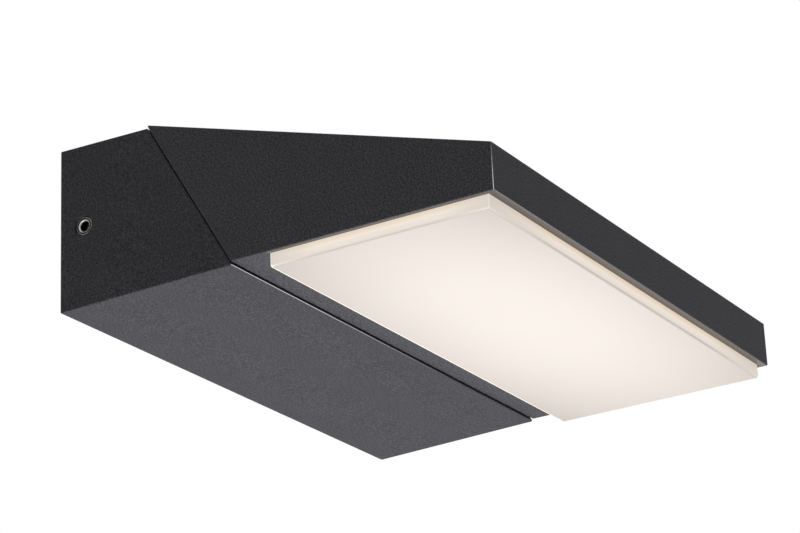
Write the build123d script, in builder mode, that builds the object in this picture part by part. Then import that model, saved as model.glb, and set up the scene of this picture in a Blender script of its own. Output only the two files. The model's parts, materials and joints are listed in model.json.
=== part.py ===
from build123d import *
import math
import os

os.makedirs("parts", exist_ok=True)

# Driving sizes in millimetres and degrees: +Z up, the wall is the plane Y = 0, the light reaches along -Y

# Outer form of the base, the box on the wall
base_width = 260.0  # at the wall
base_height = 75.2  # at the wall
base_reach = 87.5  # wall to the lower front edge
base_draft = 1.08  # on the top, the underside and both ends
base_wall = 3.0
edge_radius = 0.5

# The split between base and head
parting_angle = 30.0  # leans back from the vertical
parting_gap = 0.5
underside_step = 1.4  # the head's underside lies above the base's lower edge

# Outer form of the head, the wedge that carries the light
head_width = 257.9
head_reach = 211.7  # wall to the fascia
fascia_height = 20.7
top_step = 1.75  # the head's top rear edge lies above the base's top edge
head_wall = 2.5  # ends
fascia_wall = 3.6
head_skin = 3.0  # top, rear wall and rear strip

# Opal diffuser
panel_setback = 104.2  # wall to the rear edge of the opening
diffuser_gap = 0.3
diffuser_drop = 6.1  # below the underside
diffuser_tuck = 6.0  # inside the head
diffuser_wall = 2.0
diffuser_corner = 1.0
diffuser_edge = 1.2
pillar_radius = 3.5
pillar_inset = 6.5
gasket_thickness = 1.5

# Light engine
spreader_thickness = 2.5
spreader_margin = 1.2  # to the head's inside
flange_height = 16.0
board_margin_x = 11.6  # to the inside of the diffuser
board_margin_y = 8.6
board_thickness = 1.6
led_size = 3.0
led_height = 0.8
led_columns = 11
led_rows = 4
led_margin_x = 22.0  # outer diodes to the edge of the board
led_margin_y = 11.0
spreader_screw_inset = 48.0  # to the ends of the head

# Spring clips at the front of the light engine
clip_inset = 53.0  # to the ends of the head
clip_width = 12.0
clip_sheet = 0.8
clip_foot = 10.0
clip_rise = 5.0
rib_reach = 1.8
rib_height = 2.0

# Hinge
pivot_offset = 20.0  # pivot axis to the head's rear face
hinge_inset = 45.0  # to the ends of the base
arm_width = 14.0
barrel_radius = 7.5
foot_inset = 2.5  # below the head's top rear edge
foot_height = 28.0
foot_thickness = 11.0
pocket_clearance = 0.6
pocket_wall = 3.0
pocket_cheek = 4.0
pin_radius = 2.5
pin_clearance = 0.05
pin_head_radius = 4.25
pin_head_height = 4.0
washer_radius = 6.5
washer_thickness = 1.0
washer_play = 0.1
spring_washer_radius = 4.6
spring_washer_thickness = 1.2
nut_flats = 8.0
nut_height = 5.0
pin_overhang = 1.0
bumper_radius = 4.0
bumper_seat = 1.0
bumper_rise = 12.0  # up the split from the lower edge
bumper_inset = 35.0  # to the ends of the base
bumper_play = 0.1

# Wall bracket and the screws that hold the base to it
bracket_thickness = 2.0
bracket_height = 50.0
bracket_corner = 4.0
ear_reach = 20.0
ear_height = 20.0
ear_clearance = 0.35
wall_screw_spacing = 140.0
slot_width = 5.5
slot_length = 14.0
rim_lip = 1.5
wall_gasket_depth = 2.0
side_screw_depth = 12.0
side_screw_radius = 2.5
side_head_radius = 4.25
side_head_height = 5.0
side_head_recess = 0.8
side_head_chamfer = 0.35
socket_mouth_radius = 2.8
side_seat = 2.5
side_boss_radius = 7.5
side_screw_length = 12.0
hex_socket = 4.0
fit_clearance = 0.25

# Electrical pieces in the base
cable_hole_z = -11.0
cable_hole_radius = 8.0
cable_radius = 4.0
grommet_lip = 2.5
grommet_flange = 1.5
block_width = 36.0
block_height = 16.0
block_depth = 16.0
block_z = 15.0
block_poles = 3
pole_pitch = 11.0
pole_screw_radius = 1.8
wire_radius = 2.0
earth_x = 36.0
earth_z = -12.0
small_screw_radius = 1.5
small_head_radius = 2.8
small_head_height = 2.0
small_socket = 2.0
earth_washer_radius = 4.0
earth_washer_thickness = 0.8
driver_length = 104.0
driver_depth = 34.0
driver_height = 23.0
driver_setback = 28.0
driver_lift = 3.0
driver_tab = 12.0
driver_tab_thickness = 3.0
driver_boss_radius = 4.0

# Lead from the driver to the light engine
lead_radius = 2.3
lead_bend = 6.0
lead_clearance = 0.1
lead_rise = 56.0  # up the split from the lower edge
lead_grommet_radius = 4.5
lead_grommet_lip = 2.0
lead_straight = 12.0
lead_drop_depth = 98.0
lead_high_z = 10.0
connector_width = 14.0
connector_depth = 9.0
connector_height = 7.0

# Larger screws: hinge arms and light engine
arm_screw_radius = 2.0
arm_screw_head = 3.5
arm_screw_head_height = 4.0
arm_screw_socket = 3.0
arm_screw_bite = 9.0
arm_screw_pitch = 9.0
arm_screw_inset = 5.0  # above the foot's lower end
flush_screw_radius = 2.0
flush_screw_head = 4.0
flush_screw_bite = 4.0
countersink_angle = 45.0
socket_share = 0.55  # depth of a socket in its screw head

# Worked out from the sizes above
lean = math.radians(parting_angle)
draft = math.tan(math.radians(base_draft))
top_edge_rise = (base_height - 2 * draft * base_reach) / (math.cos(lean) - draft * math.sin(lean))
low_edge_z = -base_height / 2 + draft * base_reach
split_normal = (0, -math.cos(lean), math.sin(lean))
base_face = Plane(origin=(0, -base_reach, low_edge_z), x_dir=(1, 0, 0), z_dir=split_normal)
head_face = base_face.offset(parting_gap)
underside_z = low_edge_z + underside_step
fascia_top_z = underside_z + fascia_height
head_rise = top_edge_rise + (top_step - parting_gap * math.sin(lean)) / math.cos(lean)
hinge_spread = base_width - 2 * hinge_inset
bumper_spread = base_width - 2 * bumper_inset
clip_spread = head_width - 2 * clip_inset
spreader_screw_spacing = head_width / 2 - spreader_screw_inset


def on_split(face, rise, out=0.0):
    # Point of the side profile, (y, z), at a rise up a face of the split and a distance out of it
    point = face.from_local_coords((0, rise, out))
    return (point.Y, point.Z)


def rise_at(face, height):
    # How far up a face of the split a level lies
    return (height - face.origin.Z) / math.cos(lean)


def level_base_z(depth, side):
    # Level of the base's top (side 1) or underside (side -1) at a depth from the wall
    return side * (base_height / 2 - draft * depth)


head_top = on_split(head_face, head_rise)
pitch_slope = (head_top[1] - fascia_top_z) / (head_top[0] + head_reach)
pivot = on_split(head_face, head_rise, -pivot_offset)
pocket_width = arm_width + 2 * (washer_thickness + washer_play)
boss_inner_x = base_width / 2 - draft * side_screw_depth - side_head_height - side_head_recess - side_seat
ear_x = boss_inner_x - ear_clearance
rim_z = underside_z + diffuser_tuck
board_top_z = rim_z + gasket_thickness
spreader_top_z = board_top_z + spreader_thickness
diffuser_width = head_width - 2 * (head_wall + diffuser_gap)
diffuser_front = head_reach - fascia_wall - diffuser_gap
diffuser_rear = panel_setback + diffuser_gap
diffuser_depth = diffuser_front - diffuser_rear
diffuser_mid = (diffuser_front + diffuser_rear) / 2
board_width = diffuser_width - 2 * (diffuser_wall + board_margin_x)
board_depth = diffuser_depth - 2 * (diffuser_wall + board_margin_y)
led_pitch_x = (board_width - 2 * led_margin_x) / (led_columns - 1)
led_pitch_y = (board_depth - 2 * led_margin_y) / (led_rows - 1)
pillar_spread_x = diffuser_width - 2 * (diffuser_wall + pillar_inset)
pillar_spread_y = diffuser_depth - 2 * (diffuser_wall + pillar_inset)
driver_mid = driver_setback + driver_depth / 2
driver_z = level_base_z(driver_mid, -1) + base_wall + driver_lift
driver_screw_x = driver_length / 2 + driver_tab / 2
rib_z = spreader_top_z + clip_sheet + clip_rise - rib_height


# Screws and rings stand on a seat plane whose normal points out of the head
def add_screw(seat, head_radius, head_height, radius, length, socket):
    with BuildSketch(seat) as head_outline:
        Circle(head_radius)
    extrude(head_outline.sketch, amount=head_height)
    with BuildSketch(seat) as shank_outline:
        Circle(radius)
    extrude(shank_outline.sketch, amount=-length)
    with BuildSketch(seat.offset(head_height)) as socket_outline:
        RegularPolygon(socket / 2, 6, major_radius=False)
    extrude(socket_outline.sketch, amount=-head_height * socket_share, mode=Mode.SUBTRACT)


def add_flush_screw(seat, head_radius, radius, length, socket):
    with BuildSketch(seat) as head_outline:
        Circle(head_radius)
    extrude(head_outline.sketch, amount=-(head_radius - radius), taper=countersink_angle)
    with BuildSketch(seat) as shank_outline:
        Circle(radius)
    extrude(shank_outline.sketch, amount=-length)
    with BuildSketch(seat) as socket_outline:
        RegularPolygon(socket / 2, 6, major_radius=False)
    extrude(socket_outline.sketch, amount=-(head_radius - radius), mode=Mode.SUBTRACT)


def add_ring(seat, outer, inner, thickness):
    with BuildSketch(seat) as ring_outline:
        Circle(outer)
        Circle(inner, mode=Mode.SUBTRACT)
    extrude(ring_outline.sketch, amount=thickness)


def cross_plane(x, point, side):
    # Plane across the width at a point of the side profile, with its normal along X
    return Plane(origin=(x, point[0], point[1]), x_dir=(0, 1, 0), z_dir=(side, 0, 0))


def shifted(face, x, rise, out):
    # A face of the split with its origin moved across, up and out
    return Plane(origin=face.from_local_coords((x, rise, out)), x_dir=(1, 0, 0), z_dir=face.z_dir)


def add_pocket(x, growth, width):
    # Outline in which a hinge arm swings up from rest, open at the top and at the split
    floor_rise = head_rise - foot_inset - foot_height - growth
    floor_inner = on_split(head_face, floor_rise, -foot_thickness - growth)
    floor_end = on_split(head_face, floor_rise)
    sky = base_height / 2 + barrel_radius
    with BuildSketch(Plane.YZ.offset(x)) as outline:
        with Locations(pivot):
            Circle(barrel_radius + growth)
        with BuildLine():
            Polyline(
                (pivot[0] + barrel_radius + growth, pivot[1]),
                (pivot[0] + barrel_radius + growth, sky),
                (floor_end[0], sky),
                floor_end,
                floor_inner,
                close=True,
            )
        make_face()
        make_hull()
    extrude(outline.sketch, amount=width / 2, both=True)


# Base housing: a drafted box, open at the wall and closed by a slanted front
with BuildPart() as base_form:
    with BuildSketch(Plane.XZ):
        Rectangle(base_width, base_height)
    extrude(amount=base_reach + base_wall, taper=base_draft)
    split(bisect_by=base_face, keep=Keep.BOTTOM)
    fillet(base_form.edges(), radius=edge_radius)

with BuildPart() as base_hollow:
    with BuildSketch(Plane.XZ):
        Rectangle(base_width - 2 * base_wall, base_height - 2 * base_wall)
    extrude(amount=base_reach, taper=base_draft)
    split(bisect_by=base_face.offset(-base_wall), keep=Keep.BOTTOM)

with BuildPart() as hinge_housings:
    for side in (-1, 1):
        add_pocket(side * hinge_spread / 2, pocket_clearance + pocket_wall, pocket_width + 2 * pocket_cheek)
    add(base_form.part, mode=Mode.INTERSECT)

with BuildPart() as hinge_pockets:
    for side in (-1, 1):
        add_pocket(side * hinge_spread / 2, pocket_clearance, pocket_width)

with BuildPart() as base_housing:
    add(base_form.part)
    add(base_hollow.part, mode=Mode.SUBTRACT)
    add(hinge_housings.part)
    for side in (-1, 1):
        with BuildSketch(cross_plane(side * boss_inner_x, (-side_screw_depth, 0), side)):
            Circle(side_boss_radius)
        extrude(amount=side_head_height + side_seat - base_wall / 2)
        with BuildSketch(Plane.XY.offset(driver_z)):
            with Locations((side * driver_screw_x, -driver_mid)):
                Circle(driver_boss_radius)
        extrude(amount=-(driver_lift + base_wall / 2))
    add(hinge_pockets.part, mode=Mode.SUBTRACT)
    for side in (-1, 1):
        with BuildSketch(cross_plane(side * (hinge_spread / 2 - pocket_width), pivot, side)):
            Circle(pin_radius + pin_clearance)
        extrude(amount=2 * pocket_width, mode=Mode.SUBTRACT)
        with BuildSketch(cross_plane(side * (boss_inner_x - side_seat), (-side_screw_depth, 0), side)):
            Circle(side_screw_radius + fit_clearance)
        extrude(amount=side_head_height + 3 * side_seat, mode=Mode.SUBTRACT)
        with BuildSketch(cross_plane(side * (boss_inner_x + side_seat), (-side_screw_depth, 0), side)):
            Circle(side_head_radius + fit_clearance)
        extrude(amount=2 * side_head_height, mode=Mode.SUBTRACT)
        with BuildSketch(shifted(base_face, side * bumper_spread / 2, bumper_rise, 0)):
            Circle(bumper_radius)
        extrude(amount=-bumper_seat, mode=Mode.SUBTRACT)
        with BuildSketch(Plane.XY.offset(driver_z)):
            with Locations((side * driver_screw_x, -driver_mid)):
                Circle(small_screw_radius)
        extrude(amount=-driver_lift, mode=Mode.SUBTRACT)
    with BuildSketch(shifted(base_face, 0, lead_rise, 0)):
        Circle(lead_grommet_radius)
    extrude(amount=-2 * base_wall, mode=Mode.SUBTRACT)
    with BuildSketch(Plane.XZ):
        Rectangle(base_width - 2 * rim_lip, base_height - 2 * rim_lip)
    extrude(amount=wall_gasket_depth, mode=Mode.SUBTRACT)
base_housing.part.label = "base_housing"
export_step(base_housing.part, "parts/base_housing.step")

# Foam ring in the rebate of the rim, flush with the wall
with BuildPart() as wall_gasket:
    with BuildSketch(Plane.XZ):
        Rectangle(base_width - 2 * rim_lip, base_height - 2 * rim_lip)
        Rectangle(base_width - 2 * base_wall, base_height - 2 * base_wall, mode=Mode.SUBTRACT)
    extrude(amount=wall_gasket_depth)
wall_gasket.part.label = "wall_gasket"
export_step(wall_gasket.part, "parts/wall_gasket.step")

# Sheet steel bracket with slotted holes for the wall and an ear at each end for the side screws
with BuildPart() as wall_bracket:
    with BuildSketch(Plane.XZ):
        RectangleRounded(2 * ear_x, bracket_height, bracket_corner)
        with GridLocations(wall_screw_spacing, 0, 2, 1):
            SlotOverall(slot_length, slot_width, mode=Mode.SUBTRACT)
        with Locations((0, cable_hole_z)):
            Circle(cable_hole_radius, mode=Mode.SUBTRACT)
        with Locations((earth_x, earth_z)):
            Circle(small_screw_radius, mode=Mode.SUBTRACT)
        with Locations((0, block_z)):
            with GridLocations(pole_pitch, 0, 2, 1):
                Circle(small_screw_radius, mode=Mode.SUBTRACT)
    extrude(amount=bracket_thickness)
    for side in (-1, 1):
        with BuildSketch(Plane.YZ.offset(side * ear_x)):
            with Locations((-ear_reach / 2, 0)):
                Rectangle(ear_reach, ear_height)
            with Locations((-side_screw_depth, 0)):
                Circle(side_screw_radius + fit_clearance, mode=Mode.SUBTRACT)
        extrude(amount=-side * bracket_thickness)
wall_bracket.part.label = "wall_bracket"
export_step(wall_bracket.part, "parts/wall_bracket.step")

# Nuts welded behind the ears
with BuildPart() as bracket_nuts:
    for side in (-1, 1):
        nut_seat = cross_plane(side * (ear_x - bracket_thickness), (-side_screw_depth, 0), -side)
        with BuildSketch(nut_seat):
            RegularPolygon(nut_flats / 2, 6, major_radius=False)
            Circle(side_screw_radius + pin_clearance, mode=Mode.SUBTRACT)
        extrude(amount=nut_height)
bracket_nuts.part.label = "bracket_nuts"
export_step(bracket_nuts.part, "parts/bracket_nuts.step")

# One socket screw in each end of the base, with chamfers on its head and at the mouth of the socket
with BuildPart() as side_screws:
    for side in (-1, 1):
        screw_seat = cross_plane(side * (boss_inner_x + side_seat), (-side_screw_depth, 0), side)
        add_screw(
            screw_seat, side_head_radius, side_head_height, side_screw_radius, side_screw_length, hex_socket
        )
        with BuildSketch(screw_seat.offset(side_head_height)):
            Circle(socket_mouth_radius)
        mouth_depth = socket_mouth_radius - hex_socket / 2
        extrude(amount=-mouth_depth, taper=countersink_angle, mode=Mode.SUBTRACT)
    head_top_x = boss_inner_x + side_seat + side_head_height
    head_rims = side_screws.edges().filter_by(
        lambda edge: edge.geom_type == GeomType.CIRCLE
        and abs(edge.radius - side_head_radius) < side_head_chamfer
        and abs(edge.center().X) > head_top_x - side_head_chamfer
    )
    chamfer(head_rims, length=side_head_chamfer)
side_screws.part.label = "side_screws"
export_step(side_screws.part, "parts/side_screws.step")

# Rubber inlet for the supply cable in the bracket
with BuildPart() as cable_grommet:
    inlet = Plane(origin=(0, 0, cable_hole_z), x_dir=(1, 0, 0), z_dir=(0, -1, 0))
    add_ring(inlet, cable_hole_radius, cable_radius, bracket_thickness)
    add_ring(inlet.offset(bracket_thickness), cable_hole_radius + grommet_lip, cable_radius, grommet_flange)
cable_grommet.part.label = "cable_grommet"
export_step(cable_grommet.part, "parts/cable_grommet.step")

# Terminal block on the bracket, its wire holes up and down and its screws to the front
block_front = bracket_thickness + block_depth
block_mid = bracket_thickness + block_depth / 2
with BuildPart() as terminal_block:
    with BuildSketch(Plane.XZ.offset(bracket_thickness)):
        with Locations((0, block_z)):
            Rectangle(block_width, block_height)
    extrude(amount=block_depth)
    chamfer(terminal_block.faces().sort_by(Axis.Y)[0].edges(), length=edge_radius)
    with BuildSketch(Plane.XY.offset(block_z - block_height / 2)):
        with Locations((0, -block_mid)):
            with GridLocations(pole_pitch, 0, block_poles, 1):
                Circle(wire_radius)
    extrude(amount=block_height, mode=Mode.SUBTRACT)
    with BuildSketch(Plane.XZ.offset(block_mid)):
        with Locations((0, block_z)):
            with GridLocations(pole_pitch, block_height / 2, block_poles, 2):
                Circle(pole_screw_radius + fit_clearance)
    extrude(amount=block_depth / 2, mode=Mode.SUBTRACT)
    with BuildSketch(Plane.XZ.offset(bracket_thickness)):
        with Locations((0, block_z)):
            with GridLocations(pole_pitch, 0, 2, 1):
                Circle(small_screw_radius + pin_clearance)
    extrude(amount=block_depth, mode=Mode.SUBTRACT)
    with BuildSketch(Plane.XZ.offset(block_front - small_head_height - edge_radius)):
        with Locations((0, block_z)):
            with GridLocations(pole_pitch, 0, 2, 1):
                Circle(small_head_radius + pin_clearance)
    extrude(amount=2 * small_head_height, mode=Mode.SUBTRACT)
terminal_block.part.label = "terminal_block"
export_step(terminal_block.part, "parts/terminal_block.step")

# Clamping screws of the terminal block, two to a pole
with BuildPart() as terminal_screws:
    with BuildSketch(Plane.XZ.offset(block_mid + wire_radius)):
        with Locations((0, block_z)):
            with GridLocations(pole_pitch, block_height / 2, block_poles, 2):
                Circle(pole_screw_radius)
    extrude(amount=block_depth / 2 - 2 * wire_radius)
    with BuildSketch(Plane.XZ.offset(block_front - 2 * wire_radius)):
        with Locations((0, block_z)):
            with GridLocations(pole_pitch, block_height / 2, block_poles, 2):
                Rectangle(2 * pole_screw_radius, pole_screw_radius / 2)
    extrude(amount=2 * wire_radius, mode=Mode.SUBTRACT)
terminal_screws.part.label = "terminal_screws"
export_step(terminal_screws.part, "parts/terminal_screws.step")

# Two screws hold the terminal block to the bracket
with BuildPart() as block_screws:
    for side in (-1, 1):
        block_seat = Plane(
            origin=(side * pole_pitch / 2, -(block_front - small_head_height - edge_radius), block_z),
            x_dir=(1, 0, 0),
            z_dir=(0, -1, 0),
        )
        block_bite = block_depth - small_head_height - edge_radius + bracket_thickness
        add_screw(
            block_seat, small_head_radius, small_head_height, small_screw_radius, block_bite, small_socket
        )
block_screws.part.label = "block_screws"
export_step(block_screws.part, "parts/block_screws.step")

# Earth screw and its washer on the bracket
earth_seat = Plane(origin=(earth_x, -bracket_thickness, earth_z), x_dir=(1, 0, 0), z_dir=(0, -1, 0))
with BuildPart() as earth_washer:
    add_ring(earth_seat, earth_washer_radius, small_screw_radius + pin_clearance, earth_washer_thickness)
earth_washer.part.label = "earth_washer"
export_step(earth_washer.part, "parts/earth_washer.step")

with BuildPart() as earth_screw:
    add_screw(
        earth_seat.offset(earth_washer_thickness),
        small_head_radius,
        small_head_height,
        small_screw_radius,
        earth_washer_thickness + bracket_thickness,
        small_socket,
    )
earth_screw.part.label = "earth_screw"
export_step(earth_screw.part, "parts/earth_screw.step")

# Potted driver on two bosses of the base's floor
with BuildPart() as led_driver:
    with BuildSketch(Plane.XY.offset(driver_z)):
        with Locations((0, -driver_mid)):
            Rectangle(driver_length, driver_depth)
    extrude(amount=driver_height)
    fillet(led_driver.edges(), radius=edge_radius)
    with BuildSketch(Plane.XY.offset(driver_z)):
        with Locations((0, -driver_mid)):
            Rectangle(driver_length + 2 * driver_tab, 2 * driver_boss_radius)
            with GridLocations(2 * driver_screw_x, 0, 2, 1):
                Circle(small_screw_radius + pin_clearance, mode=Mode.SUBTRACT)
    extrude(amount=driver_tab_thickness)
led_driver.part.label = "led_driver"
export_step(led_driver.part, "parts/led_driver.step")

with BuildPart() as driver_screws:
    for side in (-1, 1):
        tab_seat = Plane.XY.offset(driver_z + driver_tab_thickness)
        driver_seat = Plane(origin=tab_seat.from_local_coords((side * driver_screw_x, -driver_mid, 0)))
        add_screw(
            driver_seat,
            small_head_radius,
            small_head_height,
            small_screw_radius,
            driver_tab_thickness + driver_lift,
            small_socket,
        )
driver_screws.part.label = "driver_screws"
export_step(driver_screws.part, "parts/driver_screws.step")

# Pivot pins through the cheeks of the hinge pockets, heads outward
pin_length = pocket_width + 2 * pocket_cheek + spring_washer_thickness + nut_height + pin_overhang
cheek_x = hinge_spread / 2 + pocket_width / 2 + pocket_cheek
inner_cheek_x = hinge_spread / 2 - pocket_width / 2 - pocket_cheek
with BuildPart() as hinge_pins:
    for side in (-1, 1):
        pin_seat = cross_plane(side * cheek_x, pivot, side)
        add_screw(pin_seat, pin_head_radius, pin_head_height, pin_radius, pin_length, hex_socket)
hinge_pins.part.label = "hinge_pins"
export_step(hinge_pins.part, "parts/hinge_pins.step")

# Friction washers on both sides of each arm hold the head at any tilt
with BuildPart() as friction_washers:
    for side in (-1, 1):
        for face_side in (-1, 1):
            washer_x = side * hinge_spread / 2 + face_side * pocket_width / 2
            washer_seat = cross_plane(washer_x, pivot, -face_side)
            add_ring(washer_seat, washer_radius, pin_radius + pin_clearance, washer_thickness)
friction_washers.part.label = "friction_washers"
export_step(friction_washers.part, "parts/friction_washers.step")

with BuildPart() as spring_washers:
    for side in (-1, 1):
        add_ring(
            cross_plane(side * inner_cheek_x, pivot, -side),
            spring_washer_radius,
            pin_radius + pin_clearance,
            spring_washer_thickness,
        )
spring_washers.part.label = "spring_washers"
export_step(spring_washers.part, "parts/spring_washers.step")

with BuildPart() as hinge_nuts:
    for side in (-1, 1):
        with BuildSketch(cross_plane(side * (inner_cheek_x - spring_washer_thickness), pivot, -side)):
            RegularPolygon(nut_flats / 2, 6, major_radius=False)
            Circle(pin_radius + pin_clearance, mode=Mode.SUBTRACT)
        extrude(amount=nut_height)
hinge_nuts.part.label = "hinge_nuts"
export_step(hinge_nuts.part, "parts/hinge_nuts.step")

# Rubber stops that carry the lowered head and keep the split even
with BuildPart() as stop_bumpers:
    for side in (-1, 1):
        with BuildSketch(shifted(base_face, side * bumper_spread / 2, bumper_rise, -bumper_seat)):
            Circle(bumper_radius)
        extrude(amount=bumper_seat + parting_gap - bumper_play)
stop_bumpers.part.label = "stop_bumpers"
export_step(stop_bumpers.part, "parts/stop_bumpers.step")

# Flush rubber grommets for the lead, one in each face of the split
grommet_bore = lead_radius + lead_clearance
grommet_brim = lead_grommet_radius + lead_grommet_lip
with BuildPart() as base_grommet:
    base_inside = shifted(base_face, 0, lead_rise, -base_wall)
    add_ring(base_inside, lead_grommet_radius, grommet_bore, base_wall)
    add_ring(base_inside, grommet_brim, grommet_bore, -lead_grommet_lip)
base_grommet.part.label = "base_grommet"
export_step(base_grommet.part, "parts/base_grommet.step")

with BuildPart() as head_grommet:
    add_ring(shifted(head_face, 0, lead_rise, 0), lead_grommet_radius, grommet_bore, head_skin)
    add_ring(shifted(head_face, 0, lead_rise, head_skin), grommet_brim, grommet_bore, lead_grommet_lip)
head_grommet.part.label = "head_grommet"
export_step(head_grommet.part, "parts/head_grommet.step")

# Lead: up from the driver, square through the split, then down to the plug on the heat spreader
lead_start = (-driver_mid, driver_z + driver_height)
lead_inner = on_split(base_face, lead_rise, -lead_straight)
lead_outer = on_split(head_face, lead_rise, lead_straight)
lead_turn_z = lead_inner[1] + (lead_inner[0] + driver_mid) * math.tan(lean)
lead_end_z = spreader_top_z + connector_height
with BuildPart() as led_lead:
    with BuildLine(Plane.YZ) as lead_route:
        FilletPolyline(
            lead_start,
            (-driver_mid, lead_turn_z),
            lead_outer,
            (-lead_drop_depth, lead_high_z),
            (-lead_drop_depth, lead_end_z),
            radius=lead_bend,
        )
    with BuildSketch(Plane(origin=(0, *lead_start), z_dir=(0, 0, 1))):
        Circle(lead_radius)
    sweep(path=lead_route.line)
led_lead.part.label = "led_lead"
export_step(led_lead.part, "parts/led_lead.step")

# Plug of the lead on the heat spreader
with BuildPart() as lead_plug:
    with BuildSketch(Plane.XY.offset(spreader_top_z)):
        with Locations((0, -lead_drop_depth)):
            Rectangle(connector_width, connector_depth)
    extrude(amount=connector_height)
    chamfer(lead_plug.faces().sort_by(Axis.Z)[-1].edges(), length=edge_radius)
lead_plug.part.label = "lead_plug"
export_step(lead_plug.part, "parts/lead_plug.step")

# Head housing: a wedge, open below for the diffuser
head_low = on_split(head_face, rise_at(head_face, underside_z))
with BuildPart() as head_form:
    with BuildSketch(Plane.YZ):
        with BuildLine():
            Polyline(head_low, (-head_reach, underside_z), (-head_reach, fascia_top_z), head_top, close=True)
        make_face()
    extrude(amount=head_width / 2, both=True)
    fillet(head_form.edges(), radius=edge_radius)

inner_face = head_face.offset(head_skin)
strip_z = underside_z + head_skin
inner_front = head_reach - fascia_wall
skin_drop = head_skin * math.hypot(1, pitch_slope)
inner_fascia_z = fascia_top_z + fascia_wall * pitch_slope - skin_drop
inner_fall = inner_face.origin.Y + inner_front
inner_rise = (inner_fascia_z - inner_face.origin.Z + inner_fall * pitch_slope) / (
    math.cos(lean) - math.sin(lean) * pitch_slope
)
arm_screw_low = head_rise - foot_inset - foot_height + arm_screw_inset
flange_rise = rise_at(inner_face, spreader_top_z) + flange_height / 2

with BuildPart() as head_housing:
    add(head_form.part)
    with BuildSketch(Plane.YZ):
        with BuildLine():
            Polyline(
                (-inner_front, underside_z - head_skin),
                (-inner_front, inner_fascia_z),
                on_split(inner_face, inner_rise),
                on_split(inner_face, rise_at(inner_face, strip_z)),
                (-panel_setback, strip_z),
                (-panel_setback, underside_z - head_skin),
                close=True,
            )
        make_face()
    extrude(amount=head_width / 2 - head_wall, both=True, mode=Mode.SUBTRACT)
    for side in (-1, 1):
        with BuildSketch(Plane.XY.offset(rib_z)):
            with Locations((side * clip_spread / 2, -(inner_front - rib_reach / 2))):
                Rectangle(clip_width, rib_reach)
        extrude(amount=rib_height)
        for step in (0, 1):
            arm_hole = shifted(head_face, side * hinge_spread / 2, arm_screw_low + step * arm_screw_pitch, 0)
            with BuildSketch(arm_hole):
                Circle(arm_screw_radius + fit_clearance)
            extrude(amount=2 * head_skin, mode=Mode.SUBTRACT)
    for column in (-1, 0, 1):
        flush_seat = shifted(head_face, column * spreader_screw_spacing, flange_rise, 0)
        with BuildSketch(flush_seat):
            Circle(flush_screw_head + pin_clearance)
        sink_depth = flush_screw_head - flush_screw_radius
        extrude(amount=sink_depth, taper=countersink_angle, mode=Mode.SUBTRACT)
        with BuildSketch(flush_seat):
            Circle(flush_screw_radius + pin_clearance)
        extrude(amount=2 * head_skin, mode=Mode.SUBTRACT)
    with BuildSketch(shifted(head_face, 0, lead_rise, 0)):
        Circle(lead_grommet_radius)
    extrude(amount=2 * head_skin, mode=Mode.SUBTRACT)
head_housing.part.label = "head_housing"
export_step(head_housing.part, "parts/head_housing.step")

# Hinge arms: a barrel on the pivot and a foot on the head's rear wall
foot_top = on_split(head_face, head_rise - foot_inset)
foot_low_rise = head_rise - foot_inset - foot_height
foot_low = on_split(head_face, foot_low_rise)
foot_inner = on_split(head_face, foot_low_rise, -foot_thickness)


def add_arm(side):
    with BuildSketch(Plane.YZ.offset(side * hinge_spread / 2)) as arm_outline:
        with Locations(pivot):
            Circle(barrel_radius)
        with BuildLine():
            Polyline(foot_inner, foot_low, foot_top)
        make_hull()
    extrude(arm_outline.sketch, amount=arm_width / 2, both=True)
    with BuildSketch(cross_plane(side * hinge_spread / 2, pivot, 1)) as bore_outline:
        Circle(pin_radius + pin_clearance)
    extrude(bore_outline.sketch, amount=arm_width, both=True, mode=Mode.SUBTRACT)
    for step in (0, 1):
        thread = shifted(head_face, side * hinge_spread / 2, arm_screw_low + step * arm_screw_pitch, 0)
        with BuildSketch(thread) as thread_outline:
            Circle(arm_screw_radius + pin_clearance)
        extrude(thread_outline.sketch, amount=-(arm_screw_bite + fit_clearance), mode=Mode.SUBTRACT)


with BuildPart() as hinge_arm_left:
    add_arm(-1)
hinge_arm_left.part.label = "hinge_arm_left"
export_step(hinge_arm_left.part, "parts/hinge_arm_left.step")

with BuildPart() as hinge_arm_right:
    add_arm(1)
hinge_arm_right.part.label = "hinge_arm_right"
export_step(hinge_arm_right.part, "parts/hinge_arm_right.step")

# Two screws from inside the head hold each arm
with BuildPart() as arm_screws:
    for side in (-1, 1):
        for step in (0, 1):
            arm_seat = shifted(
                head_face, side * hinge_spread / 2, arm_screw_low + step * arm_screw_pitch, head_skin
            )
            add_screw(
                arm_seat,
                arm_screw_head,
                arm_screw_head_height,
                arm_screw_radius,
                head_skin + arm_screw_bite,
                arm_screw_socket,
            )
arm_screws.part.label = "arm_screws"
export_step(arm_screws.part, "parts/arm_screws.step")

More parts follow.
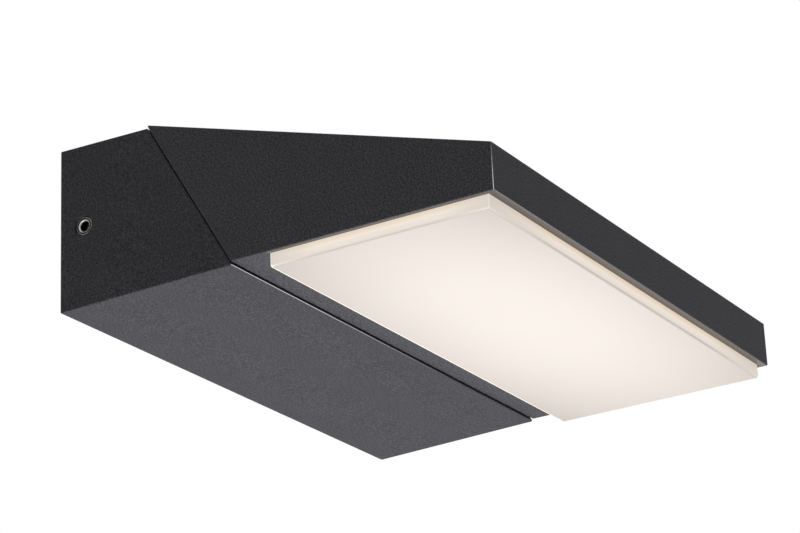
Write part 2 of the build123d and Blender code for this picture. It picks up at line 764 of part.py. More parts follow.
# Heat spreader: a level plate with a flange that lies against the head's rear wall
flange_top = rise_at(inner_face, spreader_top_z) + flange_height
flange_face = inner_face.offset(spreader_thickness)
spreader_width = head_width - 2 * (head_wall + spreader_margin)
spreader_front = inner_front - spreader_margin
with BuildPart() as heat_spreader:
    with BuildSketch(Plane.YZ):
        with BuildLine():
            Polyline(
                (-spreader_front, board_top_z),
                (-spreader_front, spreader_top_z),
                on_split(flange_face, rise_at(flange_face, spreader_top_z)),
                on_split(flange_face, flange_top),
                on_split(inner_face, flange_top),
                on_split(inner_face, rise_at(inner_face, board_top_z)),
                close=True,
            )
        make_face()
    extrude(amount=spreader_width / 2, both=True)
    for column in (-1, 0, 1):
        with BuildSketch(shifted(inner_face, column * spreader_screw_spacing, flange_rise, 0)):
            Circle(flush_screw_radius + pin_clearance)
        extrude(amount=2 * spreader_thickness, mode=Mode.SUBTRACT)
    with BuildSketch(Plane.XY.offset(board_top_z)):
        with Locations((0, -diffuser_mid)):
            with GridLocations(pillar_spread_x, pillar_spread_y, 2, 2):
                Circle(small_screw_radius + pin_clearance)
            with GridLocations(board_width - 4 * small_head_radius, 0, 2, 1):
                Circle(small_screw_radius + pin_clearance)
        with Locations((0, -(spreader_front - clip_foot / 2 - clip_sheet))):
            with GridLocations(clip_spread, 0, 2, 1):
                Circle(small_screw_radius + pin_clearance)
    extrude(amount=spreader_thickness, mode=Mode.SUBTRACT)
heat_spreader.part.label = "heat_spreader"
export_step(heat_spreader.part, "parts/heat_spreader.step")

# Flush screws through the head's rear wall into the flange
with BuildPart() as spreader_screws:
    for column in (-1, 0, 1):
        spreader_seat = Plane(
            origin=head_face.from_local_coords((column * spreader_screw_spacing, flange_rise, 0)),
            x_dir=(1, 0, 0),
            z_dir=head_face.z_dir * -1,
        )
        add_flush_screw(
            spreader_seat, flush_screw_head, flush_screw_radius, head_skin + flush_screw_bite, hex_socket / 2
        )
spreader_screws.part.label = "spreader_screws"
export_step(spreader_screws.part, "parts/spreader_screws.step")

# Spring clips on the front of the spreader hook over ribs behind the fascia
clip_front = spreader_front - clip_sheet
with BuildPart() as front_clips:
    for side in (-1, 1):
        with BuildSketch(Plane.YZ.offset(side * clip_spread / 2)):
            with BuildLine():
                Polyline(
                    (-(clip_front - clip_foot), spreader_top_z),
                    (-(clip_front - clip_foot), spreader_top_z + clip_sheet),
                    (-(clip_front - clip_sheet), spreader_top_z + clip_sheet),
                    (-(clip_front - clip_sheet), rib_z + rib_height + clip_sheet),
                    (-(clip_front + rib_reach / 2), rib_z + rib_height + clip_sheet),
                    (-(clip_front + rib_reach / 2), rib_z + rib_height),
                    (-clip_front, rib_z + rib_height),
                    (-clip_front, spreader_top_z),
                    close=True,
                )
            make_face()
        extrude(amount=clip_width / 2, both=True)
        with BuildSketch(Plane.XY.offset(spreader_top_z)):
            with Locations((side * clip_spread / 2, -(clip_front - clip_foot / 2))):
                Circle(small_screw_radius + pin_clearance)
        extrude(amount=clip_sheet, mode=Mode.SUBTRACT)
front_clips.part.label = "front_clips"
export_step(front_clips.part, "parts/front_clips.step")

with BuildPart() as clip_screws:
    for side in (-1, 1):
        clip_seat = Plane(
            origin=(side * clip_spread / 2, -(clip_front - clip_foot / 2), spreader_top_z + clip_sheet)
        )
        add_screw(
            clip_seat,
            small_head_radius,
            small_head_height,
            small_screw_radius,
            clip_sheet + spreader_thickness,
            small_socket,
        )
clip_screws.part.label = "clip_screws"
export_step(clip_screws.part, "parts/clip_screws.step")

# Light board under the spreader, with its rows of light-emitting diodes
with BuildPart() as led_board:
    with BuildSketch(Plane.XY.offset(board_top_z)):
        with Locations((0, -diffuser_mid)):
            Rectangle(board_width, board_depth)
            with GridLocations(board_width - 4 * small_head_radius, 0, 2, 1):
                Circle(small_screw_radius + pin_clearance, mode=Mode.SUBTRACT)
    extrude(amount=-board_thickness)
led_board.part.label = "led_board"
export_step(led_board.part, "parts/led_board.step")

with BuildPart() as leds:
    with BuildSketch(Plane.XY.offset(board_top_z - board_thickness)):
        with Locations((0, -diffuser_mid)):
            with GridLocations(led_pitch_x, led_pitch_y, led_columns, led_rows):
                Rectangle(led_size, led_size)
    extrude(amount=-led_height)
leds.part.label = "leds"
export_step(leds.part, "parts/leds.step")

with BuildPart() as board_screws:
    for side in (-1, 1):
        board_screw_x = side * (board_width / 2 - 2 * small_head_radius)
        board_seat = Plane(
            origin=(board_screw_x, -diffuser_mid, board_top_z - board_thickness),
            z_dir=(0, 0, -1),
        )
        add_screw(
            board_seat,
            small_head_radius,
            small_head_height,
            small_screw_radius,
            board_thickness + spreader_thickness,
            small_socket,
        )
board_screws.part.label = "board_screws"
export_step(board_screws.part, "parts/board_screws.step")

# Opal tray, its rim tucked up into the head and a pillar in each corner for its screws
diffuser_low_z = underside_z - diffuser_drop
with BuildPart() as diffuser:
    with BuildSketch(Plane.XY.offset(diffuser_low_z)):
        with Locations((0, -diffuser_mid)):
            RectangleRounded(diffuser_width, diffuser_depth, diffuser_corner)
    extrude(amount=rim_z - diffuser_low_z)
    fillet(diffuser.faces().sort_by(Axis.Z)[0].edges(), radius=diffuser_edge)
    with BuildSketch(Plane.XY.offset(diffuser_low_z + diffuser_wall)):
        with Locations((0, -diffuser_mid)):
            Rectangle(diffuser_width - 2 * diffuser_wall, diffuser_depth - 2 * diffuser_wall)
    extrude(amount=rim_z - diffuser_low_z, mode=Mode.SUBTRACT)
    with BuildSketch(Plane.XY.offset(diffuser_low_z + diffuser_wall / 2)):
        with Locations((0, -diffuser_mid)):
            with GridLocations(pillar_spread_x, pillar_spread_y, 2, 2):
                Circle(pillar_radius)
    extrude(amount=board_top_z - diffuser_low_z - diffuser_wall / 2)
    with BuildSketch(Plane.XY.offset(board_top_z)):
        with Locations((0, -diffuser_mid)):
            with GridLocations(pillar_spread_x, pillar_spread_y, 2, 2):
                Circle(small_screw_radius + pin_clearance)
    extrude(amount=-diffuser_tuck, mode=Mode.SUBTRACT)
diffuser.part.label = "diffuser"
export_step(diffuser.part, "parts/diffuser.step")

with BuildPart() as diffuser_gasket:
    with BuildSketch(Plane.XY.offset(rim_z)):
        with Locations((0, -diffuser_mid)):
            RectangleRounded(diffuser_width, diffuser_depth, diffuser_corner)
            Rectangle(
                diffuser_width - 2 * diffuser_wall, diffuser_depth - 2 * diffuser_wall, mode=Mode.SUBTRACT
            )
    extrude(amount=gasket_thickness)
diffuser_gasket.part.label = "diffuser_gasket"
export_step(diffuser_gasket.part, "parts/diffuser_gasket.step")

# Screws from above the spreader into the pillars
with BuildPart() as diffuser_screws:
    for side in (-1, 1):
        for end in (-1, 1):
            pillar_seat = Plane(
                origin=(
                    side * pillar_spread_x / 2,
                    -diffuser_mid + end * pillar_spread_y / 2,
                    spreader_top_z,
                )
            )
            add_screw(
                pillar_seat,
                small_head_radius,
                small_head_height,
                small_screw_radius,
                spreader_thickness + diffuser_tuck - fit_clearance,
                small_socket,
            )
diffuser_screws.part.label = "diffuser_screws"
export_step(diffuser_screws.part, "parts/diffuser_screws.step")
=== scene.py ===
import bpy
import json
import math
import numpy as np
from mathutils import Matrix, Vector


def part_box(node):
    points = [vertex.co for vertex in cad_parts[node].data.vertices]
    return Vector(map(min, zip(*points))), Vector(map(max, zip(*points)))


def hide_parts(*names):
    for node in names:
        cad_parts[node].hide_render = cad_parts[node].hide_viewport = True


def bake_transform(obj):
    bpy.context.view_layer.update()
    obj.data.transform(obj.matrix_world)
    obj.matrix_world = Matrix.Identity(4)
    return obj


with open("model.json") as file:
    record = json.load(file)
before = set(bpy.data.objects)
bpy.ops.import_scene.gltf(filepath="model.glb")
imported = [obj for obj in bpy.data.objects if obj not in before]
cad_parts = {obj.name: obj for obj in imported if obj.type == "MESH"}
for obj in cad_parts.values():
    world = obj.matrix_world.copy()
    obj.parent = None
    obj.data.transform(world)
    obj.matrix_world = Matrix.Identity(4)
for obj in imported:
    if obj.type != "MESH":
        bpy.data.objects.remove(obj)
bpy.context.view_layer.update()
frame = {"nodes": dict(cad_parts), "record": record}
nodes = frame["nodes"]
print("frame loaded:", len(nodes), "nodes")


# material helpers: each adds nodes to a tree, and most return the socket with the result

def startMaterial(name):
    mat = bpy.data.materials.new(name)
    mat.use_nodes = True
    tree = mat.node_tree
    shader = tree.nodes["Principled BSDF"]
    where = tree.nodes.new("ShaderNodeTexCoord").outputs["Object"]
    return mat, tree, shader, where


def noiseField(tree, where, scale, detail=2.0, roughness=0.5):
    node = tree.nodes.new("ShaderNodeTexNoise")
    node.inputs["Scale"].default_value = scale
    node.inputs["Detail"].default_value = detail
    node.inputs["Roughness"].default_value = roughness
    tree.links.new(where, node.inputs["Vector"])
    return node.outputs["Fac"]


def stretched(tree, where, scale):  # squeezes a pattern along the axes, for brushed grain
    node = tree.nodes.new("ShaderNodeMapping")
    node.inputs["Scale"].default_value = scale
    tree.links.new(where, node.inputs["Vector"])
    return node.outputs["Vector"]


def colourRamp(tree, fac, stops):
    node = tree.nodes.new("ShaderNodeValToRGB")
    elements = node.color_ramp.elements
    elements[0].position = stops[0][0]
    elements[-1].position = stops[-1][0]
    for place, colour in stops[1:-1]:
        elements.new(place)
    for element, (place, colour) in zip(elements, stops):
        element.color = (*colour, 1.0)
    tree.links.new(fac, node.inputs["Fac"])
    return node.outputs["Color"]


def valueRange(tree, fac, low, high, fromLow=0.0, fromHigh=1.0):
    node = tree.nodes.new("ShaderNodeMapRange")
    for key, value in (("From Min", fromLow), ("From Max", fromHigh), ("To Min", low), ("To Max", high)):
        node.inputs[key].default_value = value
    tree.links.new(fac, node.inputs["Value"])
    return node.outputs["Result"]


def combine(tree, operation, first, second):
    node = tree.nodes.new("ShaderNodeMath")
    node.operation = operation
    for socket, value in zip(node.inputs, (first, second)):
        if isinstance(value, (int, float)):
            socket.default_value = value
        else:
            tree.links.new(value, socket)
    return node.outputs["Value"]


def addShares(tree, first, firstShare, second, secondShare):
    return combine(tree, "ADD", combine(tree, "MULTIPLY", first, firstShare),
                   combine(tree, "MULTIPLY", second, secondShare))


def axesOf(tree, where):
    node = tree.nodes.new("ShaderNodeSeparateXYZ")
    tree.links.new(where, node.inputs["Vector"])
    return {name: node.outputs[name] for name in "XYZ"}


def awayFrom(tree, axis, names, place):  # distance from a line that stands at the place on the two named axes
    sides = [combine(tree, "SUBTRACT", axis[name], value) for name, value in zip(names, place)]
    squares = [combine(tree, "MULTIPLY", side, side) for side in sides]
    return combine(tree, "SQRT", combine(tree, "ADD", *squares), 0.0)


def blendColour(tree, fac, first, second):
    node = tree.nodes.new("ShaderNodeMix")
    node.data_type = "RGBA"
    tree.links.new(fac, node.inputs["Factor"])
    for socket, value in zip((node.inputs[6], node.inputs[7]), (first, second)):  # the node's two colours
        if isinstance(value, tuple):
            socket.default_value = (*value, 1.0)
        else:
            tree.links.new(value, socket)
    return node.outputs[2]  # the blended colour


def bumpInto(tree, shader, height, strength, distance):
    node = tree.nodes.new("ShaderNodeBump")
    node.inputs["Strength"].default_value = strength
    node.inputs["Distance"].default_value = distance
    tree.links.new(height, node.inputs["Height"])
    tree.links.new(node.outputs["Normal"], shader.inputs["Normal"])


# finishes: one dictionary each, lengths in metres and pattern scales per metre

def powderCoat(look):
    # speckled coat, with painted highlights along the listed edges that fade along an axis, and a lip round
    # the panel painted paler and warmer as a painted reflection of the panel's glow, and shinier: the lip is
    # all that lies in front of the first lip value and below the second
    mat, tree, shader, where = startMaterial(look["name"])
    grit = noiseField(tree, where, look["gritScale"], roughness=look["gritRoughness"])
    cloud = noiseField(tree, where, look["cloudScale"])
    tone = addShares(tree, grit, look["gritShare"], cloud, look["cloudShare"])
    stops = [(place, tuple(look["shade"] * value for value in colour)) for place, colour in look["stops"]]
    colour = colourRamp(tree, tone, stops)
    axis = axesOf(tree, where)
    # painted highlights: a bright line along each listed edge, full at one end and fading to the rest level
    # at the other
    edgeHighlight = 0.0
    for names, place, (fadeAxis, full, none), amount in look["edges"]:
        away = awayFrom(tree, axis, names, place)
        band = valueRange(tree, away, amount, 0.0, *look["edgeBand"])
        fade = valueRange(tree, axis[fadeAxis], 1.0, look["edgeRest"], full, none)
        edgeHighlight = combine(tree, "MAXIMUM", edgeHighlight, combine(tree, "MULTIPLY", band, fade))
    lipRear, lipTop = look["lip"]
    lip = combine(tree, "MULTIPLY", combine(tree, "LESS_THAN", axis["Y"], lipRear),
                  combine(tree, "LESS_THAN", axis["Z"], lipTop))
    # the lip is painted paler and warmer here: a painted reflection of the panel's warm glow
    coat = blendColour(tree, lip, colour, look["lipGlowColour"])
    # the painted edge highlights are blended over the coat last, and their lines are made metallic below
    tree.links.new(blendColour(tree, edgeHighlight, coat, look["edgeHighlightColour"]), shader.inputs["Base Color"])
    metal = combine(tree, "MAXIMUM", combine(tree, "MULTIPLY", edgeHighlight, look["edgeHighlightMetal"]),
                    combine(tree, "MULTIPLY", lip, look["lipMetal"]))
    tree.links.new(metal, shader.inputs["Metallic"])
    rough = valueRange(tree, grit, *look["roughness"])
    smooth = addShares(tree, edgeHighlight, look["edgeShine"], lip, look["lipShine"])
    tree.links.new(combine(tree, "SUBTRACT", rough, smooth), shader.inputs["Roughness"])
    shader.inputs["Specular IOR Level"].default_value = look["specular"]
    bumpInto(tree, shader, grit, look["bump"], look["bumpDepth"])
    return mat


def opalPlastic(look):
    # light from inside: a broad hump that falls with the square of the distance from its brightest place,
    # walls that brighten towards the lip and dim towards the corners, and bright edges
    mat, tree, shader, where = startMaterial(look["name"])
    axis = axesOf(tree, where)
    low, high = look["box"]
    middle = [(one + two) / 2 for one, two in zip(low, high)]
    half = [(two - one) / 2 for one, two in zip(low, high)]
    across = combine(tree, "DIVIDE", combine(tree, "SUBTRACT", axis["X"], middle[0]), half[0])
    along = combine(tree, "DIVIDE", combine(tree, "SUBTRACT", axis["Y"], middle[1]), half[1])
    lift = combine(tree, "SUBTRACT", axis["Z"], low[2])
    cloud = noiseField(tree, where, look["cloudScale"])
    fall = combine(tree, "MULTIPLY", cloud, look["cloud"])
    for side, brightest, amount in zip((across, along), look["brightest"], look["fall"]):
        off = combine(tree, "SUBTRACT", side, brightest)
        square = combine(tree, "MULTIPLY", off, off)
        fall = combine(tree, "ADD", fall, combine(tree, "MULTIPLY", square, amount))
    floorGlow = colourRamp(tree, fall, look["floorStops"])
    rise = valueRange(tree, lift, 0.0, 1.0, 0.0, look["wallHeight"])
    wallGlow = colourRamp(tree, rise, look["wallStops"])
    sizeX, sizeY = (combine(tree, "ABSOLUTE", side, 0.0) for side in (across, along))
    dim = valueRange(tree, combine(tree, "MINIMUM", sizeX, sizeY), 0.0, 1.0, *look["dimFrom"])
    wallGlow = blendColour(tree, dim, wallGlow, look["dimColour"])
    glow = blendColour(tree, valueRange(tree, lift, 0.0, 1.0, *look["wallFrom"]), floorGlow, wallGlow)
    cornerX, cornerY = (valueRange(tree, size, 0.0, 1.0, 1.0 - look["edge"] / reach, 1.0)
                        for size, reach in ((sizeX, half[0]), (sizeY, half[1])))
    rearFrom = [1.0 - inset / half[1] for inset in look["rear"]]
    rear = combine(tree, "MULTIPLY", valueRange(tree, along, 0.0, look["rearShine"], *rearFrom),
                   valueRange(tree, lift, 1.0, 0.0, look["edge"], 2 * look["edge"]))
    corner = combine(tree, "MAXIMUM", combine(tree, "MULTIPLY", cornerX, cornerY), rear)
    tree.links.new(blendColour(tree, corner, glow, look["edgeHighlightColour"]), shader.inputs["Emission Color"])
    shader.inputs["Emission Strength"].default_value = look["glow"]
    tree.links.new(colourRamp(tree, cloud, look["stops"]), shader.inputs["Base Color"])
    shader.inputs["Roughness"].default_value = look["roughness"]
    shader.inputs["Specular IOR Level"].default_value = look["specular"]
    return mat


def grainedMetal(look):
    mat, tree, shader, where = startMaterial(look["name"])
    drawn = stretched(tree, where, look["stretch"])
    grain = noiseField(tree, drawn, look["grainScale"], detail=4.0, roughness=0.6)
    stain = noiseField(tree, where, look["stainScale"])
    tone = addShares(tree, grain, look["grainShare"], stain, look["stainShare"])
    tree.links.new(colourRamp(tree, tone, look["stops"]), shader.inputs["Base Color"])
    tree.links.new(valueRange(tree, grain, *look["roughness"]), shader.inputs["Roughness"])
    shader.inputs["Metallic"].default_value = 1.0
    bumpInto(tree, shader, grain, look["bump"], look["bumpDepth"])
    return mat


def glintedSteel(look):
    # blackened steel, with painted highlights in rings round the axis along X through the given place, where
    # the rims catch the light
    mat, tree, shader, where = startMaterial(look["name"])
    away = awayFrom(tree, axesOf(tree, where), "YZ", look["place"])
    mottle = noiseField(tree, where, look["mottleScale"], detail=1.0)
    glint = 0.0
    for inner, outer, amount in look["rings"]:
        inside = valueRange(tree, away, 0.0, amount, inner - look["soft"], inner)
        outside = valueRange(tree, away, 1.0, 0.0, outer, outer + look["soft"])
        glint = combine(tree, "MAXIMUM", glint, combine(tree, "MULTIPLY", inside, outside))
    # the painted highlight rings are made patchy by the same noise that varies the steel's tone
    glint = combine(tree, "MULTIPLY", glint, valueRange(tree, mottle, *look["mottle"]))
    tone = colourRamp(tree, mottle, look["stops"])
    tree.links.new(blendColour(tree, glint, tone, look["glintColour"]), shader.inputs["Base Color"])
    tree.links.new(valueRange(tree, mottle, *look["roughness"]), shader.inputs["Roughness"])
    shader.inputs["Metallic"].default_value = 1.0
    return mat


def mouldedStuff(look):
    mat, tree, shader, where = startMaterial(look["name"])
    grit = noiseField(tree, where, look["gritScale"], detail=3.0, roughness=0.6)
    tree.links.new(colourRamp(tree, grit, look["stops"]), shader.inputs["Base Color"])
    tree.links.new(valueRange(tree, grit, *look["roughness"]), shader.inputs["Roughness"])
    shader.inputs["Specular IOR Level"].default_value = look["specular"]
    bumpInto(tree, shader, grit, look["bump"], look["bumpDepth"])
    return mat


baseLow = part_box("base_housing")[0]
headLow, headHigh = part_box("head_housing")
trayLow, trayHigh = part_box("diffuser")
screwLow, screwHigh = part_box("side_screws")

# an edge with a painted highlight line: its two axes, its place on them, the axis that it fades along with
# the full and the faded end, and its strength
coatLook = dict(
    gritScale=1280.0, gritRoughness=0.6, gritShare=0.94, cloudScale=60.0, cloudShare=0.06,
    stops=[(0.34, (0.035, 0.035, 0.040)), (0.5, (0.070, 0.070, 0.079)), (0.66, (0.128, 0.128, 0.143))],
    specular=0.07, roughness=(0.42, 0.62), bump=0.2, bumpDepth=0.0002,
    # edge values: the painted highlight lines' width, faded level, colour, shine and metal
    edgeBand=(0.00005, 0.00022), edgeRest=0.1, edgeHighlightColour=(0.85, 0.85, 0.88), edgeShine=0.2, edgeHighlightMetal=1.0,
    # lip: painted paler and warmer as a painted reflection of the panel's glow, with less roughness and half
    # metal
    lipGlowColour=(0.156, 0.139, 0.128), lipShine=0.25, lipMetal=0.5)
noLip = (-1.0, -1.0)  # beyond the part, so nothing lies in front of it and below it
edgeInset = 0.00015  # from the head's box to the middle of its rounded edges
lipDepth = 0.00003
splitEdge = (baseLow.y + 0.000072, baseLow.z + 0.00189)  # the base's lower front edge, raised by its draft
# the base gets a painted highlight along its lower front edge
baseCoat = powderCoat(dict(
    coatLook, name="baseCoat", shade=0.90, lip=noLip, edges=[("YZ", splitEdge, ("X", -0.06, 0.06), 1.0)]))
frontY = headLow.y + edgeInset
# the head gets painted highlights along its lower front edge and its two front corners, and its lip the
# panel's painted glow
headCoat = powderCoat(dict(
    coatLook, name="headCoat", shade=1.06, lip=(trayHigh.y, headLow.z + lipDepth),
    edges=[("YZ", (frontY, headLow.z + edgeInset), ("X", -0.10, 0.12), 0.4),
           ("XY", (headLow.x + edgeInset, frontY), ("Z", -0.03, -0.01), 0.9),
           ("XY", (headHigh.x - edgeInset, frontY), ("Z", -0.03, -0.01), 0.9)]))

opal = opalPlastic(dict(
    name="litOpal", box=(trayLow, trayHigh), roughness=0.45, specular=0.12, glow=1.0,
    cloudScale=14.0, cloud=0.02, stops=[(0.3, (0.432, 0.422, 0.402)), (0.7, (0.448, 0.438, 0.418))],
    brightest=(0.0, -0.08), fall=(0.49, 0.48),
    floorStops=[(0.0, (0.540, 0.480, 0.428)), (1.0, (0.235, 0.185, 0.158))],
    wallHeight=0.0062, wallFrom=(0.0001, 0.0004),
    wallStops=[(0.03, (0.16, 0.12, 0.10)), (0.12, (0.50, 0.44, 0.39)), (0.22, (0.70, 0.63, 0.56)),
               (0.42, (0.70, 0.62, 0.55)), (0.58, (0.77, 0.68, 0.59)), (0.72, (0.71, 0.61, 0.50)),
               (0.9, (0.67, 0.57, 0.45))],
    dimFrom=(0.55, 1.0), dimColour=(0.57, 0.51, 0.45),
    edge=0.0007, edgeHighlightColour=(0.95, 0.90, 0.83), rear=(0.0016, 0.0010), rearShine=0.65))

metalLook = dict(grainShare=0.5, stainShare=0.5, bumpDepth=0.0001)
zincSteel = grainedMetal(dict(
    metalLook, name="zincSteel", stretch=(1.0, 1.0, 1.0), grainScale=420.0, stainScale=35.0,
    roughness=(0.28, 0.5), bump=0.1, stops=[(0.3, (0.50, 0.52, 0.55)), (0.7, (0.68, 0.70, 0.72))]))
stainlessSteel = grainedMetal(dict(
    metalLook, name="stainlessSteel", stretch=(1.0, 1.0, 6.0), grainScale=900.0, stainScale=120.0,
    roughness=(0.2, 0.38), bump=0.12, stops=[(0.3, (0.55, 0.55, 0.55)), (0.7, (0.74, 0.74, 0.74))]))
brassMetal = grainedMetal(dict(
    metalLook, name="brassMetal", stretch=(1.0, 1.0, 3.0), grainScale=900.0, stainScale=120.0,
    roughness=(0.25, 0.45), bump=0.1, stops=[(0.3, (0.62, 0.45, 0.18)), (0.7, (0.80, 0.62, 0.30))]))
rolledAluminium = grainedMetal(dict(
    metalLook, name="rolledAluminium", stretch=(0.08, 1.0, 1.0), grainScale=700.0, stainScale=25.0,
    roughness=(0.3, 0.5), bump=0.12, stops=[(0.3, (0.66, 0.67, 0.68)), (0.7, (0.80, 0.80, 0.81))]))

screwMiddle = (screwLow + screwHigh) / 2
# the side screws: dark steel with painted highlights in two rings on each screw head
darkSteel = glintedSteel(dict(
    name="darkSteel", place=(screwMiddle.y, screwMiddle.z), mottleScale=700.0, mottle=(0.5, 1.0),
    roughness=(0.3, 0.5), stops=[(0.3, (0.012, 0.012, 0.012)), (0.7, (0.035, 0.034, 0.033))],
    rings=[(0.0025, 0.0028, 0.9), (0.0039, 0.0042, 1.0)], soft=0.0002, glintColour=(0.72, 0.71, 0.69)))

blackRubber = mouldedStuff(dict(
    name="blackRubber", gritScale=600.0, roughness=(0.7, 0.9), specular=0.25, bump=0.2, bumpDepth=0.0002,
    stops=[(0.3, (0.014, 0.014, 0.015)), (0.7, (0.030, 0.030, 0.031))]))
greyFoam = mouldedStuff(dict(
    name="greyFoam", gritScale=1400.0, roughness=(0.85, 1.0), specular=0.15, bump=0.8, bumpDepth=0.0005,
    stops=[(0.3, (0.05, 0.05, 0.055)), (0.7, (0.12, 0.12, 0.125))]))
frictionFibre = mouldedStuff(dict(
    name="frictionFibre", gritScale=1100.0, roughness=(0.7, 0.9), specular=0.25, bump=0.4, bumpDepth=0.0002,
    stops=[(0.3, (0.18, 0.09, 0.04)), (0.7, (0.33, 0.19, 0.09))]))
whiteBoard = mouldedStuff(dict(
    name="whiteBoard", gritScale=300.0, roughness=(0.35, 0.5), specular=0.5, bump=0.05, bumpDepth=0.0001,
    stops=[(0.3, (0.78, 0.78, 0.76)), (0.7, (0.86, 0.86, 0.84))]))
phosphor = mouldedStuff(dict(
    name="phosphor", gritScale=2000.0, roughness=(0.3, 0.5), specular=0.5, bump=0.1, bumpDepth=0.0001,
    stops=[(0.3, (0.85, 0.62, 0.12)), (0.7, (0.92, 0.74, 0.22))]))
whitePlastic = mouldedStuff(dict(
    name="whitePlastic", gritScale=500.0, roughness=(0.4, 0.55), specular=0.45, bump=0.08, bumpDepth=0.0002,
    stops=[(0.3, (0.70, 0.70, 0.68)), (0.7, (0.78, 0.78, 0.76))]))
leadSheath = mouldedStuff(dict(
    name="leadSheath", gritScale=700.0, roughness=(0.45, 0.65), specular=0.35, bump=0.12, bumpDepth=0.0002,
    stops=[(0.3, (0.020, 0.020, 0.021)), (0.7, (0.036, 0.036, 0.038))]))
print("finishes made")

finishOfSlot = {
    "coated_casting": headCoat, "opal": opal, "bare_aluminium": rolledAluminium, "zinc_steel": zincSteel,
    "stainless": stainlessSteel, "brass": brassMetal, "black_rubber": blackRubber, "grey_foam": greyFoam,
    "fibre": frictionFibre, "white_board": whiteBoard, "led_yellow": phosphor, "white_plastic": whitePlastic,
    "black_plastic": blackRubber, "lead_sheath": leadSheath,
}
for part in frame["record"]["subparts"]:
    piece = nodes[part["node"]]
    piece.data.materials.clear()
    piece.data.materials.append(finishOfSlot[part["material_slot"]])
nodes["base_housing"].data.materials[0] = baseCoat
nodes["side_screws"].data.materials[0] = darkSteel
print("CAD nodes finished")


# lead from the driver to the light engine, which bends between base and head: its route lies in the middle
# plane, as places along Y and Z

leadLook = dict(
    radius=0.0023, bend=0.006, cornerSteps=9, ringPoints=20, spacing=0.0012, splitRings=36, searchSteps=4000,
    route=[(-0.0450, -0.00775), (-0.0450, 0.00418), (-0.07033, 0.01880), (-0.0980, 0.0100),
           (-0.0980, -0.01755)],
    baseFace=(-0.0595, 0.01255), headFace=(-0.05993, 0.0128))


def roundedRoute(points, bend, steps):
    # straight runs joined by parabolic corners that start one bend before each corner: start, corner and end
    # are weighted by (1 - t) squared, 2t(1 - t) and t squared. Returns the points and the length up to each
    t = np.linspace(0.0, 1.0, steps)[:, None]
    pts = np.array(points)
    pieces = [pts[:1]]
    for before, corner, after in zip(pts[:-2], pts[1:-1], pts[2:]):
        into = (corner - before) / np.linalg.norm(corner - before)
        onward = (after - corner) / np.linalg.norm(after - corner)
        start = corner - into * bend
        end = corner + onward * bend
        pieces.append((1 - t) ** 2 * start + 2 * t * (1 - t) * corner + t ** 2 * end)
    pieces.append(pts[-1:])
    line = np.concatenate(pieces)
    run = np.concatenate([[0.0], np.cumsum(np.linalg.norm(np.diff(line, axis=0), axis=1))])
    return line, run


def routePoints(line, run, at):  # places on the route at the given lengths along it
    return np.stack([np.interp(at, run, line[:, 0]), np.interp(at, run, line[:, 1])], axis=1)


def ringsAlong(centre, radius, ringPoints):
    # a circle carried along the route: the cosine goes along X, the sine along the route's normal
    ahead = np.gradient(centre, axis=0)
    ahead /= np.linalg.norm(ahead, axis=1)[:, None]
    normal = np.stack([-ahead[:, 1], ahead[:, 0]], axis=1)
    turn = np.linspace(0.0, 2 * math.pi, ringPoints, endpoint=False)
    ring = np.zeros((len(centre), ringPoints, 3))
    ring[:, :, 0] = radius * np.cos(turn)
    ring[:, :, 1:] = centre[:, None, :] + radius * np.sin(turn)[None, :, None] * normal[:, None, :]
    return ring


def tubeFaces(rings, count):  # quads between neighbouring rings, then a cap on each end
    first = np.arange(rings - 1)[:, None] * count
    here = np.arange(count)[None, :]
    beside = (here + 1) % count
    quads = np.stack([first + here, first + beside, first + count + beside, first + count + here], axis=-1)
    caps = [list(range(count))[::-1], list(range((rings - 1) * count, rings * count))]
    return quads.reshape(-1, 4).tolist() + caps


line, run = roundedRoute(leadLook["route"], leadLook["bend"], leadLook["cornerSteps"])
at = np.linspace(0.0, run[-1], int(run[-1] / leadLook["spacing"]) + 1)
search = np.linspace(0.0, run[-1], leadLook["searchSteps"])
searched = routePoints(line, run, search)
splitAt = [search[np.argmin(np.linalg.norm(searched - np.array(face), axis=1))]
           for face in (leadLook["baseFace"], leadLook["headFace"])]
at = np.unique(np.concatenate([at, np.linspace(splitAt[0], splitAt[1], leadLook["splitRings"])]))
ring = ringsAlong(routePoints(line, run, at), leadLook["radius"], leadLook["ringPoints"])
leadMesh = bpy.data.meshes.new("lead")
leadMesh.from_pydata(ring.reshape(-1, 3).tolist(), [], tubeFaces(len(at), leadLook["ringPoints"]))
leadMesh.polygons.foreach_set("use_smooth", np.ones(len(leadMesh.polygons), bool))
leadMesh.materials.append(leadSheath)
lead = bpy.data.objects.new("lead", leadMesh)
bpy.context.scene.collection.objects.link(lead)
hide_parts("led_lead")
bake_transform(lead)
print("lead made:", len(leadMesh.polygons), "faces")


# stage: a pale floor far below the light, a sky that looks white, and soft lamps

stageLook = dict(
    floorZ=-1.25, floorHalf=9.0, floorColour=(0.82, 0.82, 0.82), floorRoughness=0.9, floorPale=0.72,
    skyLight=0.17)


def seenByRays(tree):
    # 1 where the backdrop is seen, straight or in a mirror or a glass, and 0 where it only gives light
    path = tree.nodes.new("ShaderNodeLightPath").outputs
    return combine(tree, "MAXIMUM", path["Is Camera Ray"],
                   combine(tree, "MAXIMUM", path["Is Glossy Ray"], path["Is Transmission Ray"]))


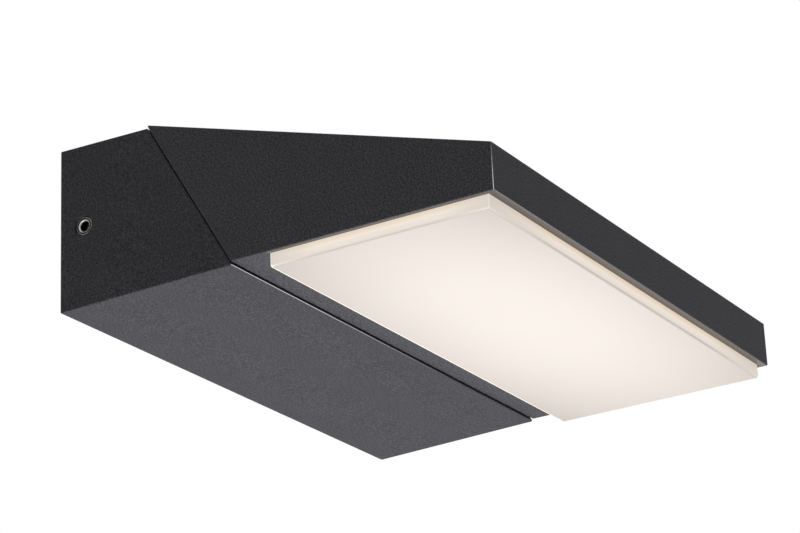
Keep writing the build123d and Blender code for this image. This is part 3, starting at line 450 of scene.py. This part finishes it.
floorMesh = bpy.data.meshes.new("floor")
half = stageLook["floorHalf"]
floorCorners = [(-half, -half), (half, -half), (half, half), (-half, half)]
floorMesh.from_pydata([(*corner, stageLook["floorZ"]) for corner in floorCorners], [], [(0, 1, 2, 3)])
floor = bpy.data.objects.new("floor", floorMesh)
bpy.context.scene.collection.objects.link(floor)
floorMat, floorTree, floorShader = startMaterial("paleFloor")[:3]
floorShader.inputs["Base Color"].default_value = (*stageLook["floorColour"], 1.0)
floorShader.inputs["Roughness"].default_value = stageLook["floorRoughness"]
floorShader.inputs["Emission Color"].default_value = (1.0, 1.0, 1.0, 1.0)
paleness = valueRange(floorTree, seenByRays(floorTree), 0.0, stageLook["floorPale"])
floorTree.links.new(paleness, floorShader.inputs["Emission Strength"])
floorMesh.materials.append(floorMat)

world = bpy.data.worlds.new("whiteSky")
bpy.context.scene.world = world
world.use_nodes = True
skyTree = world.node_tree
sky = skyTree.nodes["Background"]
sky.inputs["Color"].default_value = (1.0, 1.0, 1.0, 1.0)
skyStrength = valueRange(skyTree, seenByRays(skyTree), stageLook["skyLight"], 1.0)
skyTree.links.new(skyStrength, sky.inputs["Strength"])

lamps = [
    dict(name="floorGlow", place=(-0.28, 0.06, -1.1), aim=(0.0, -0.1, -0.03), size=0.6, watts=9.1),
    dict(name="sideFlash", place=(1.5, 0.25, -1.05), aim=(0.0, -0.1, 0.0), size=0.6, watts=1.4),
    dict(name="topPanel", place=(0.0, 0.2, 1.4), aim=(0.0, -0.08, 0.0), size=0.6, watts=10.0),
    dict(name="skyPanel", place=(-0.5, -1.2, 2.0), aim=(0.0, -0.1, 0.0), size=1.4, watts=1.9),
]
for lamp in lamps:
    light = bpy.data.lights.new(lamp["name"], "AREA")
    light.shape = "DISK"
    light.size = lamp["size"]
    light.energy = lamp["watts"]
    holder = bpy.data.objects.new(lamp["name"], light)
    bpy.context.scene.collection.objects.link(holder)
    holder.location = lamp["place"]
    beam = Vector(lamp["aim"]) - Vector(lamp["place"])
    holder.rotation_euler = beam.to_track_quat("-Z", "Y").to_euler()
print("stage and lamps set")


# camera: below, in front and to the left of the light, looking up at it

cameraView = dict(
    place=(-1.0151, -0.68827, -0.46401), heading=59.571, pitch=21.636, roll=-2.537, lens=126.08,
    sensor=36.0, clipEnd=60.0)

heading, pitch, roll = (math.radians(cameraView[key]) for key in ("heading", "pitch", "roll"))
forward = Vector((math.sin(heading) * math.cos(pitch), math.cos(heading) * math.cos(pitch), math.sin(pitch)))
level = Vector((math.cos(heading), -math.sin(heading), 0.0))
above = level.cross(forward)
right = level * math.cos(roll) + above * math.sin(roll)
up = right.cross(forward)
cameraData = bpy.data.cameras.new("photoCamera")
cameraData.lens = cameraView["lens"]
cameraData.sensor_width = cameraView["sensor"]
cameraData.sensor_fit = "HORIZONTAL"
cameraData.clip_end = cameraView["clipEnd"]
camera = bpy.data.objects.new("photoCamera", cameraData)
bpy.context.scene.collection.objects.link(camera)
turned = Matrix((right, up, -forward)).transposed().to_4x4()
camera.matrix_world = Matrix.Translation(cameraView["place"]) @ turned
bpy.context.scene.camera = camera
bpy.context.scene.view_settings.view_transform = "Standard"
print("camera set")
